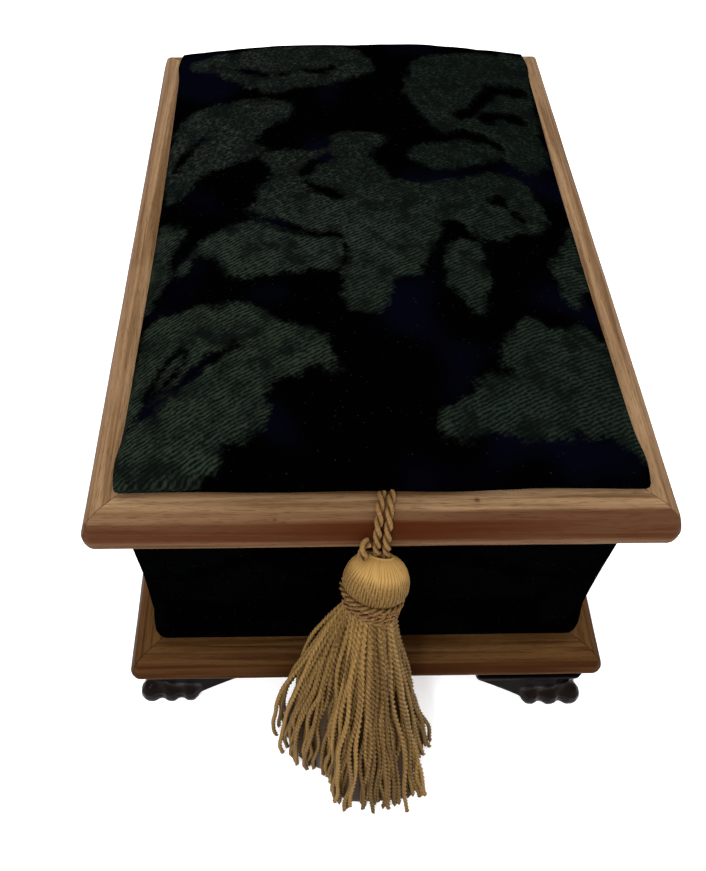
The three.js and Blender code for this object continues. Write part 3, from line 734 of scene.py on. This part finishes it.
# Damask: scrolling leaves and flowers as closed outlines on the pad, in millimetres across and along it
LEAVES = {
    "cloud": [
        (-68, 97), (-56, 100), (-42, 101), (-20, 102), (-3, 100), (5, 89), (7, 79), (-4, 74), (-12, 68),
        (-20, 69), (-31, 64), (-41, 70), (-52, 81), (-60, 88),
    ],
    "left_leaf": [
        (-68, 53), (-63, 61), (-51, 63), (-39, 63), (-27, 60), (-24, 52), (-33, 43), (-38, 36), (-34, 29),
        (-43, 24), (-52, 19), (-60, 13), (-69, 7), (-70, 28), (-70, 43),
    ],
    "centre": [
        (-36, 28), (-26, 29), (-14, 28), (-11, 36), (-2, 39), (10, 37), (6, 30), (4, 23), (8, 16), (15, 10),
        (25, 10), (31, 12), (43, 17), (53, 15), (58, 11), (61, 1), (60, -10), (50, -15), (43, -20), (35, -19),
        (32, -13), (26, -12), (22, -19), (20, -28), (15, -36), (8, -41), (3, -52), (-4, -54), (-8, -51),
        (-9, -36), (-8, -20), (-20, -17), (-30, -14), (-39, -6), (-37, 5), (-32, 16),
    ],
    "right_scroll": [
        (18, 67), (20, 82), (26, 91), (40, 96), (56, 101), (72, 104), (71, 81), (69, 49), (68, 27), (58, 18),
        (54, 22), (48, 28), (51, 34), (40, 40), (30, 38), (26, 43), (21, 53), (19, 63),
    ],
    "small_leaf": [(16, 27), (24, 32), (36, 35), (48, 33), (52, 27), (37, 19), (27, 16), (19, 20)],
    "middle_leaf": [
        (-60, -30), (-59, -23), (-54, -17), (-47, -12), (-38, -9), (-26, -16), (-15, -19), (-8, -20),
        (-9, -33), (-15, -34), (-26, -36), (-36, -36), (-43, -37), (-47, -32), (-49, -27), (-54, -25),
        (-58, -31),
    ],
    "bud": [(22, -31), (27, -21), (33, -20), (37, -27), (37, -42), (33, -53), (29, -50), (25, -43)],
    "right_oval": [(58, -31), (62, -20), (69, -6), (71, -15), (71, -27), (70, -37), (64, -45), (59, -41)],
    "big_leaf": [
        (-70, -56), (-65, -49), (-54, -47), (-45, -48), (-37, -47), (-28, -55), (-18, -59), (-13, -69),
        (-10, -78), (-16, -75), (-22, -77), (-27, -79), (-30, -85), (-30, -92), (-35, -99), (-42, -100),
        (-43, -107), (-50, -109), (-60, -112), (-74, -112), (-74, -92), (-72, -70),
    ],
    "corner_leaf": [
        (35, -68), (40, -60), (48, -53), (53, -57), (63, -53), (69, -58), (73, -64), (76, -79), (77, -102),
        (68, -101), (63, -98), (56, -97), (45, -100), (37, -99), (30, -98), (23, -100), (15, -98),
        (13, -94), (17, -90), (25, -85), (26, -79), (33, -77), (37, -77), (35, -72),
    ],
    "left_sprig": [
        (-69, -5), (-62, -7), (-58, -12), (-63, -18), (-64, -28), (-66, -40), (-71, -44), (-73, -25),
    ],
}
# Dark veins and gaps in the leaves: a width, then the line that it follows
VEINS = [
    (1.5, [(-46, 85), (-36, 79), (-28, 78)]),
    (1.5, [(-20, 80), (-13, 80), (-9, 82)]),
    (1.2, [(-68, 26), (-63, 34), (-58, 41)]),
    (1.5, [(-38, -6), (-30, -11), (-20, -16), (-8, -19)]),
    (1.6, [(-20, 10), (-15, 5), (-8, 1)]),
    (3.2, [(-20, 15), (-17, 20), (-13, 23)]),
    (2.4, [(43, 0), (46, 1)]),
    (1.6, [(50, -6), (52, -8)]),
    (6.0, [(53, 71), (59, 72), (64, 74)]),
    (5.0, [(47, 50), (51, 54), (60, 53)]),
    (4.5, [(38, 50), (44, 57), (52, 70)]),
    (1.5, [(-64, -77), (-62, -71), (-58, -66), (-55, -65), (-56, -70), (-60, -77), (-63, -81)]),
    (2.2, [(-64, -80), (-56, -78), (-50, -71), (-41, -65)]),
    (2.4, [(-71, -91), (-63, -84), (-57, -79)]),
]
MOTIF_SCALE = 0.978
MOTIF_SHIFT = (-0.25, 0)
OUTLINE_STEP = 2.0
VEIN_STEP = 1.5
NOWHERE = -99.0


def distance_to_line(places, line):
    """How far each place is from a line of points."""
    best = np.full(len(places), np.inf)
    for start, end in zip(line[:-1], line[1:]):
        way = end - start
        share = np.clip((places - start) @ way / max(way @ way, 1e-9), 0, 1)
        gap = places - start - share[:, None] * way
        best = np.minimum(best, (gap * gap).sum(1))
    return np.sqrt(best)


def inside_outline(places, line):
    """Whether each place is inside a closed line."""
    crossings = np.zeros(len(places), int)
    x, y = places.T
    for (ax, ay), (bx, by) in zip(line[:-1], line[1:]):
        if ay == by:
            continue
        crosses = (ay > y) != (by > y)
        crossings += crosses & (x < ax + (y - ay) * (bx - ax) / (by - ay))
    return crossings % 2 == 1


def motif_depth(places):
    """The distance into the nearest motif in millimetres, below nought in the ground."""
    places = (places - MOTIF_SHIFT) / MOTIF_SCALE
    depth = np.full(len(places), NOWHERE)
    for outline in LEAVES.values():
        line = smooth_line(outline, OUTLINE_STEP, closed=True)
        away = distance_to_line(places, line)
        depth = np.maximum(depth, np.where(inside_outline(places, line), away, -away))
    for width, vein in VEINS:
        depth = np.minimum(depth, distance_to_line(places, smooth_line(vein, VEIN_STEP)) - width / 2)
    return depth


# Pad
PAD_COLUMNS = 221
PAD_ROWS = 331
PAD_SIDE_ROWS = 12
PAD_SIDE_STEP = 0.33
PAD_CORNER_RADIUS = 1.2
PAD_CORNER_CUT = 0.293
PAD_EDGE_HEIGHT = 3.8
PAD_SHOULDER = 2.2
PAD_TUCK = 1.2
PAD_PULL = 0.9
FRONT_EARS = 1.1
BACK_EARS = 1.0
PUCKER_LENGTH = 14
pad_half = pad_high[:2]


def pad_height(across, along):
    """Height of the pad's top, from places as shares of its half width and half length."""
    crown = pad_high[2] - pad_low[2]
    swell = np.clip(1 - np.abs(across) ** 3.1, 0, 1) * np.sqrt(np.clip(1 - np.abs(along) ** 16, 0, 1))
    return PAD_EDGE_HEIGHT + (crown - PAD_EDGE_HEIGHT) * swell


def pad_plan(a, b):
    """Places in plan. The sides pull in at the middle and stand out in soft ears at the corners."""
    x = a * pad_half[0]
    y = b * pad_half[1]
    ears = np.where(y < 0, FRONT_EARS, BACK_EARS) * hill(np.abs(y), pad_half[1] - 8, 7)
    pull = -PAD_PULL * np.cos(np.clip(y / pad_half[1], -1, 1) * pi / 2) ** 2
    x = x + a ** 5 * (pull + ears)
    y = y + b ** 9 * 0.5 * ripple(np.stack([x.ravel(), y.ravel() * 0], 1), 38, 3).reshape(x.shape)
    corner = ease(np.abs(y), pad_half[1] - PAD_CORNER_RADIUS, pad_half[1])
    side = ease(np.abs(x), pad_half[0] - PAD_CORNER_RADIUS, pad_half[0])
    round_in = PAD_CORNER_CUT * PAD_CORNER_RADIUS * corner ** 2 * side ** 2
    return x - np.sign(x) * round_in, y - np.sign(y) * round_in


def pad_top():
    """The top's points and the distance into the motif at each of them."""
    b, a = np.meshgrid(np.linspace(-1, 1, PAD_ROWS), np.linspace(-1, 1, PAD_COLUMNS), indexing="ij")
    x, y = pad_plan(a, b)
    reach = np.minimum(pad_half[0] * (1 - np.abs(a)), pad_half[1] * (1 - np.abs(b)))
    shoulder = np.clip(1 - reach / PAD_SHOULDER, 0, 1)
    height = (pad_height(a, b) - PAD_SHOULDER * 0.55 * (1 - np.sqrt(1 - shoulder ** 2))).ravel()
    places = np.stack([x.ravel(), y.ravel()], 1)
    depth = motif_depth(places)
    height = height + 0.12 * np.clip(depth / 1.2, -1, 1) * (1 - shoulder.ravel())
    height = height + 0.35 * ripple(places, 46, 5) + 0.10 * ripple(places, 13, 6)
    # Small puckers where the cloth is drawn down over the front and back edges
    puckers = ease(np.abs(places[:, 1]), pad_half[1] - PUCKER_LENGTH, pad_half[1]) ** 2
    height = height - 0.30 * puckers * np.clip(ripple(places[:, :1], 17, 8), 0, 1)
    return np.column_stack([places, height + pad_low[2]]), depth


def pad_sides(rim):
    """Loops of points down the pad's sides, which are a little full and tucked in at the foot."""
    foot = rim.copy()
    foot[:, :2] *= 1 - PAD_TUCK / pad_half
    outward = rim[:, :2] / pad_half ** 2
    outward /= np.linalg.norm(outward, axis=1)[:, None]
    uneven = 0.05 * ripple(rim[:, :2], 6, 9)
    loops = []
    for share in np.arange(1, PAD_SIDE_ROWS + 1) / PAD_SIDE_ROWS:
        loop = rim + (foot - rim) * share ** 3
        loop[:, :2] += 0.45 * sin(pi * share ** 0.8) * outward
        loop[:, 2] = rim[:, 2] + (pad_low[2] - rim[:, 2]) * share + uneven * (1 - share)
        loops.append(loop)
    return loops


def add_pad():
    top, depth = pad_top()
    index = np.arange(len(top)).reshape(PAD_ROWS, PAD_COLUMNS)
    border = np.r_[index[0, :-1], index[:-1, -1], index[-1, :0:-1], index[:0:-1, 0]]
    rim = top[border]
    count = len(border)
    faces = [lattice(PAD_ROWS, PAD_COLUMNS)]
    loops = [border, *(len(top) + np.arange(PAD_SIDE_ROWS * count).reshape(PAD_SIDE_ROWS, count))]
    for upper, lower in zip(loops[:-1], loops[1:]):
        faces.append(np.stack([upper, lower, np.roll(lower, -1), np.roll(upper, -1)], 1))
    faces.append(loops[-1][None, ::-1])
    # The cloth's pattern goes on over the edge and down the sides.
    fall = np.repeat(np.arange(1, PAD_SIDE_ROWS + 1) * PAD_SIDE_STEP, count)
    side_x, side_y = np.tile(rim[:, :2], (PAD_SIDE_ROWS, 1)).T
    top_cloth = np.column_stack([top[:, :2], np.zeros(len(top))])
    side_cloth = np.column_stack([side_x, side_y + np.sign(side_y) * fall, fall])
    side_depth = np.tile(depth[border], PAD_SIDE_ROWS) - fall * 1.2
    shape = Shape()
    shape.add(
        np.vstack([top, *pad_sides(rim)]),
        faces,
        motif=np.r_[depth, side_depth],
        cloth=np.vstack([top_cloth, side_cloth]),
        shown=1.0,
    )
    pad = finish_piece(shape.object("pad"), dark_damask, ["lid_pad"])


add_pad()


# Cloth round the box
CLOTH_FULLNESS = np.array([1.3, 0])
CLOTH_ROWS = 70
CLOTH_STEP = 1.1
CLOTH_MOTIF_WIDTH = 140.0
CLOTH_MOTIF_MIDDLE = 95


def cloth_plan(half):
    """The way round the outside of the cloth, without its last point, which is its first."""
    straight = half - CLOTH_CORNER_RADIUS
    plan = []
    for corner, (sx, sy) in enumerate([(1, 1), (-1, 1), (-1, -1), (1, -1)]):
        for angle in np.linspace(corner, corner + 1, 9) * pi / 2:
            plan.append((sx * straight[0] + CLOTH_CORNER_RADIUS * cos(angle),
                         sy * straight[1] + CLOTH_CORNER_RADIUS * sin(angle)))
    plan.append(plan[0])
    return evenly(np.array(plan), CLOTH_STEP)[:-1]


def add_body_cloth():
    low, high = cloth_low[2], cloth_high[2]
    outer_half = cloth_high[:2] - CLOTH_FLARE + CLOTH_FULLNESS
    plan = cloth_plan(outer_half)
    along = distance_along(plan)
    tangent = np.roll(plan, -1, 0) - np.roll(plan, 1, 0)
    normal = np.stack([tangent[:, 1], -tangent[:, 0]], 1)
    normal /= np.linalg.norm(normal, axis=1)[:, None]
    share = np.linspace(0, 1, CLOTH_ROWS)[:, None]
    height = low + share * (high - low)
    # The cloth crumples a little near the box's corners.
    from_corner = np.hypot(*(np.abs(plan) - outer_half).clip(-9, 0).T)[None]
    unrolled = np.column_stack([np.tile(along, CLOTH_ROWS), np.repeat(height.ravel() * 0.5, len(along))])
    folds = ripple(unrolled, 24, 21).reshape(CLOTH_ROWS, -1) * np.sin(pi * share)
    out = CLOTH_FLARE * np.sin(pi * ease(height, low, low + CLOTH_FLARE_HEIGHT) ** 0.4)
    out = out + folds * (0.12 + 0.35 * hill(from_corner, 0, 7))
    outer = np.dstack([plan + out[..., None] * normal, np.repeat(height, len(plan), 1)])
    lining = np.repeat((plan - CLOTH_THICKNESS * normal)[None], 2, 0)
    inner = np.dstack([lining, np.repeat([[high], [low]], len(plan), 1)])
    points = np.concatenate([outer, inner]).reshape(-1, 3)
    total = CLOTH_ROWS + 2
    folded = np.abs((along / CLOTH_MOTIF_WIDTH) % 2 - 1) * CLOTH_MOTIF_WIDTH - CLOTH_MOTIF_WIDTH / 2
    place = np.column_stack([np.tile(folded, total), points[:, 2] - CLOTH_MOTIF_MIDDLE])
    coordinates = np.column_stack([np.tile(along, total), points[:, 2], points[:, 1] * 0.05])
    faces = [lattice(total, len(plan), wrap_rows=True, wrap_columns=True)]
    shape = Shape()
    # The motif is shown at a twentieth of its strength: painted shade on the cloth round the box.
    shape.add(points, faces, motif=motif_depth(place), cloth=coordinates, shown=0.05)
    cloth = finish_piece(shape.object("box_cloth"), dark_damask, ["body_cloth"])


add_body_cloth()


# Tassel
HEAD_COLUMNS = 336
HEAD_THREADS = 84
CROSSING_THREADS = 53
HEAD_STEP = 0.35
SLOT_RADIUS = 2.6
BINDING_TILT = 0.3
BINDING_PITCH = 4.4


def tassel_place(depth, across, back):
    """Places from how far they are down the tassel's axis, across it and behind it."""
    return (head_top + depth[..., None] * tassel_axis + across[..., None] * tassel_side
            + back[..., None] * tassel_back)


def head_profile():
    """The head's outline from the cords' hole down: distance along the axis, then radius."""
    hole = (CORD_SPACING + CORD_DIAMETER) / 2 + 0.3
    rim = HEAD_RADIUS * 0.36
    points = [(4.2, 0.0), (4.2, hole * 0.9), (1.2, hole), (0.15, hole + 0.5)]
    for angle in np.linspace(asin(rim / HEAD_RADIUS), pi / 2, 16):
        points.append((HEAD_DOME_HEIGHT * (1 - cos(angle)), HEAD_RADIUS * sin(angle)))
    points += [
        (HEAD_DOME_HEIGHT + 1.4, HEAD_RADIUS * 0.98),
        (HEAD_DOME_HEIGHT + 2.6, HEAD_RADIUS * 0.9),
        (head_length, NECK_RADIUS + 0.5),
        (head_length + 1.2, NECK_RADIUS - 0.1),
        (neck_end - SEAT_GAP, NECK_RADIUS - SEAT_GAP),
        (neck_end - SEAT_GAP, 0.0),
    ]
    return np.array(points)


def add_head():
    profile = head_profile()
    outline = np.vstack([profile[:2], smooth_line(profile[2:-1], HEAD_STEP), profile[-1:]])
    theta = np.arange(HEAD_COLUMNS)[None] / HEAD_COLUMNS * 2 * pi
    depth, radius = outline[:, :1], outline[:, 1:]
    # Threads fan out from the hole and lie a little slantwise.
    lean = 0.05 * np.sin(distance_along(outline)[:, None] / 5) + 0.03 * np.sin(5 * theta)
    threads = np.sin(HEAD_THREADS * (theta + lean)) * 0.5
    threads = threads + np.sin(CROSSING_THREADS * (theta - lean) + 1) * 0.5
    # The hole is a slot for two cords side by side.
    narrow = 0.45 + 0.55 * ease(radius, SLOT_RADIUS, SLOT_RADIUS + 4.5)
    radius = radius + 0.13 * threads * np.clip(radius / HEAD_RADIUS, 0, 1) * (radius > SLOT_RADIUS)
    points = tassel_place(depth, radius * np.cos(theta), radius * np.sin(theta) * narrow)
    # A painted highlight lies in a band round the top of the dome; painted shade grows towards the neck and
    # fills the hole.
    tint = 0.15 + 0.3 * threads + 0.95 * hill(depth, 2.2, 2.6)
    painted_neck_shade = 0.4 * ease(depth, 4, 10)
    deep = np.clip(-0.55 * threads - 0.1, 0, 1) * ease(radius, 2.2, 4.2) + painted_neck_shade + (radius < 2.4)
    faces = lattice(len(outline), HEAD_COLUMNS, wrap_columns=True)[:, ::-1]
    shape = Shape()
    shape.add(points, [faces], tint=np.clip(tint, 0, 1).ravel(), deep=np.clip(deep, 0, 1).ravel())
    finish_piece(shape.object("head"), thread_gold, ["tassel_head"])


def add_binding():
    profile = head_profile()[4:-1]
    turns = BINDING_TURNS + 0.6
    turn = np.linspace(0, turns, round(turns * 150))
    theta = turn * 2 * pi + 2.2
    depth = head_length - 0.9 + turn * BINDING_DIAMETER * 0.82 + BINDING_TILT * np.cos(theta + 0.4)
    # The turns cross at one place.
    depth = depth + 0.7 * hill(theta % (2 * pi), 4.4, 0.5) * np.cos(turn * pi)
    radius = np.interp(depth, profile[:, 0], profile[:, 1])
    radius = radius + BINDING_DIAMETER * 0.42 + 0.12 * np.sin(turn * 5)
    line = tassel_place(depth, radius * np.cos(theta), radius * np.sin(theta))
    shape = Shape()
    twisted_cord(shape, evenly(line, 0.3), BINDING_DIAMETER, BINDING_PITCH, sides=8, tint=0.0)
    finish_piece(shape.object("binding"), cord_gold, ["tassel_binding"])


# The hem on the table, anticlockwise from behind: across from the tassel, and forward of the base
HEM = [
    (13, 2.2), (-1, 1.8), (-14, 2.2), (-30, 6.5), (-30, 14.5), (-24, 22.5), (-14, 27),
    (-9.5, 36.5), (4, 37.5), (19, 35), (16, 24), (24.5, 17.5), (20, 8),
]
STRANDS = 172
STRAND_DIAMETER = 1.85
STRAND_PITCH = 4.8
STRAND_STEP = 1.12
STRAND_POINTS = 60
INNERMOST_SHARE = 0.82
CORE_SHARE = 0.86
CORE_COLUMNS = 72
CORE_ROWS = 40
GOLDEN_ANGLE = pi * (3 - sqrt(5))

skirt_neck = head_top + tassel_axis * (neck_end - 2.4)
hem = np.array([(TASSEL_X + across, base_low[1] - ahead) for across, ahead in HEM])
hem_line = smooth_line(hem, 1.0, closed=True)
hem_middle = hem.mean(0)
hem_angle = np.arctan2(*(hem_line - hem_middle).T[::-1])


def hem_point(angle):
    """The point of the hem that lies in that direction from its middle."""
    return hem_line[np.abs(np.angle(np.exp(1j * (hem_angle - angle)))).argmin()]


def skirt_line(rim, angle, share, count):
    """The way of a strand from the neck to the hem. Strands on the left bow out the most."""
    outward = cos(angle) * tassel_side + sin(angle) * tassel_back
    start = skirt_neck + SKIRT_NECK_RADIUS * CORE_SHARE * share * outward
    end = np.array([*(hem_middle + share * (rim - hem_middle)), STRAND_DIAMETER / 2])
    bend = start + (end - start) * (SKIRT_BOW - SKIRT_SWING * cos(angle) * share)
    bend[2] = start[2] + (end[2] - start[2]) * SKIRT_FALL
    t = np.linspace(0, 1, count)[:, None]
    return start * (1 - t) ** 2 + bend * 2 * t * (1 - t) + end * t ** 2


def add_skirt_core(shape):
    """The inner strands as one body, all in painted shade, so that no light shows between the outer ones."""
    angles = np.arange(CORE_COLUMNS) / CORE_COLUMNS * 2 * pi
    lines = [skirt_line(hem_point(angle), angle, CORE_SHARE, CORE_ROWS) for angle in angles]
    points = np.array(lines).transpose(1, 0, 2)
    index = np.arange(CORE_COLUMNS)
    caps = [index[None, ::-1], (CORE_ROWS - 1) * CORE_COLUMNS + index[None]]
    faces = [lattice(CORE_ROWS, CORE_COLUMNS, wrap_columns=True), *caps]
    shape.add(points, faces, tint=0.0, deep=1.0)


def strand_line(draw, number, share):
    """A strand's line, with its own sway and a hem cut uneven."""
    angle = number * GOLDEN_ANGLE
    rim = hem_point(angle + draw.normal(0, 0.13)) + draw.normal(0, 1.0, 2)
    line = skirt_line(rim, angle, share, STRAND_POINTS)
    t = np.linspace(0, 1, STRAND_POINTS)
    loose = np.sin(pi * t * 0.8) ** 0.8
    sways = ((2.1, 28, 7.3, 31 + number % 7), (1.3, 24, 5.1, 47 + number % 5))
    for axis, (size, length, spread, seed) in enumerate(sways):
        sway = ripple(np.column_stack([t * 60, np.full_like(t, number * spread)]), length, seed)
        line[:, axis] += size * sway * loose
    line = evenly(line, STRAND_STEP)
    line = line[:len(line) - draw.integers(0, 4)]
    line[:, 2] = np.maximum(line[:, 2], STRAND_DIAMETER / 2)
    return line


def strand_section():
    """Two plies side by side, as six points round them, and how much painted shade each gets in the groove
    between them.
    """
    angle = np.arange(6) / 6 * 2 * pi
    radius = STRAND_DIAMETER / 2 * (0.76 + 0.26 * np.cos(2 * angle))
    return radius * np.cos(angle), radius * np.sin(angle), 0.3 - 0.3 * np.cos(2 * angle)


def add_skirt():
    draw = np.random.default_rng(12)
    section_x, section_y, section_painted_shade = strand_section()
    shape = Shape()
    add_skirt_core(shape)
    for number in range(STRANDS):
        share = INNERMOST_SHARE + (1 - INNERMOST_SHARE) * ((number + 0.5) / STRANDS) ** 0.6
        line = strand_line(draw, number, share)
        across, beside = axes_along(line)
        along = np.arange(len(line)) * STRAND_STEP
        turn = (-along / STRAND_PITCH * 2 * pi + draw.uniform(0, 6.28))[:, None]
        rings = np.stack([section_x * np.cos(turn) - section_y * np.sin(turn),
                          section_x * np.sin(turn) + section_y * np.cos(turn)], -1)
        # Strands further in are in the shade of the outer ones.
        shade = draw.uniform(-0.1, 0.35) + 2.2 * (0.93 - share)
        deep = np.clip(np.tile(section_painted_shade, len(line)) + shade, 0, 1)
        sweep(shape, line, across, beside, rings, tint=draw.uniform(0, 0.5), deep=with_ends(deep))
    finish_piece(shape.object("skirt"), thread_gold, ["tassel_skirt"])


add_head()
add_binding()
add_skirt()


# Nodes that keep their own shape
def dress(node, look):
    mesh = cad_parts[node].data
    mesh.materials.clear()
    mesh.materials.append(look)


for wood_node in ("lid_board", "body_floor", *[f"body_wall_{side}" for side in SIDES]):
    dress(wood_node, plain_wood)


# Feet
FOOT_GRAIN = 0.42
FOOT_FILL = 1.3
FOOT_SWELL = 0.6
FOOT_SMOOTHING = 5


def melt(source):
    """A node's mesh with its edges and toes melted together."""
    mesh = source.data.copy()
    mesh.transform(source.matrix_world)
    rough = add_object("rough", mesh)
    # Swelling and then shrinking again fills the clefts between the toes.
    for step, strength in (("swell", FOOT_FILL + FOOT_SWELL), ("shrink", -FOOT_FILL)):
        remesh = rough.modifiers.new(f"melt_{step}", "REMESH")
        remesh.mode = "VOXEL"
        remesh.voxel_size = FOOT_GRAIN * MM
        move = rough.modifiers.new(step, "DISPLACE")
        move.strength = strength * MM
        move.mid_level = 0
    soften = rough.modifiers.new("soften", "SMOOTH")
    soften.factor = 0.5
    soften.iterations = FOOT_SMOOTHING
    bpy.context.view_layer.update()
    evaluated = rough.evaluated_get(bpy.context.evaluated_depsgraph_get())
    melted = bpy.data.meshes.new_from_object(evaluated)
    melted.polygons.foreach_set("use_smooth", [True] * len(melted.polygons))
    bpy.data.objects.remove(rough)
    return melted


def add_foot(place):
    """The cast foot, flat on the table and under the base, with its toes polished."""
    mesh = melt(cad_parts[f"foot_{place}"])
    points = np.empty(len(mesh.vertices) * 3)
    mesh.vertices.foreach_get("co", points)
    points = points.reshape(-1, 3)
    low, high = span(f"foot_{place}")
    points[:, 2] = np.clip(points[:, 2], low[2] * MM, high[2] * MM)
    mesh.vertices.foreach_set("co", points.ravel())
    height = points[:, 2] / MM
    corner = np.where(low[:2] + high[:2] > 0, high[:2], low[:2])
    reach = np.hypot(*(points[:, :2] / MM - corner).T)
    polish = (1 - ease(reach, 20, 24)) * (1 - ease(height, 12, 14)) * ease(height, 3, 6)
    rubbed = mesh.attributes.new("rubbed", "FLOAT", "POINT")
    rubbed.data.foreach_set("value", polish.astype(np.float32))
    finish_piece(add_object(f"paw_{place}", mesh), dark_bronze, [f"foot_{place}"])


for foot_place in ("front_right", "front_left", "back_right", "back_left"):
    add_foot(foot_place)


# Floor and light
FLOOR_HALF = 3.0
FLOOR_GLOW = 0.4
WORLD_STRENGTH = 1.7


def add_floor():
    corners = [(x * FLOOR_HALF, y * FLOOR_HALF, 0) for x, y in ((-1, -1), (1, -1), (1, 1), (-1, 1))]
    mesh = bpy.data.meshes.new("floor")
    mesh.from_pydata(corners, [], [(0, 1, 2, 3)])
    floor = add_object("floor", mesh)
    look = Look("paper")
    tone = look.mix((0.92, 0.92, 0.93), (0.9, 0.9, 0.91), look.noise(look.coordinates(), 3.0))
    look.finish(Base_Color=tone, Roughness=0.9, Emission_Color=tone, Emission_Strength=FLOOR_GLOW)
    floor.data.materials.append(look.material)


def add_lamp(name, place, target, size, power):
    data = bpy.data.lights.new(name, "AREA")
    data.shape = "DISK"
    data.size = size
    data.energy = power
    lamp = add_object(name, data)
    lamp.location = place
    lamp.rotation_euler = (Vector(target) - Vector(place)).to_track_quat("-Z", "Y").to_euler()


def add_light():
    world = bpy.data.worlds.new("studio")
    world.use_nodes = True
    background = world.node_tree.nodes["Background"]
    background.inputs["Color"].default_value = (1, 1, 1, 1)
    background.inputs["Strength"].default_value = WORLD_STRENGTH
    bpy.context.scene.world = world
    add_lamp("key", (-0.5, 0.5, 1.5), (0, 0, 0.08), 1.0, 4)
    add_lamp("front_lamp", (-0.35, -0.9, 1.1), (0, -0.1, 0.04), 0.2, 7)
    bpy.context.scene.view_settings.view_transform = "Standard"


add_floor()
add_light()
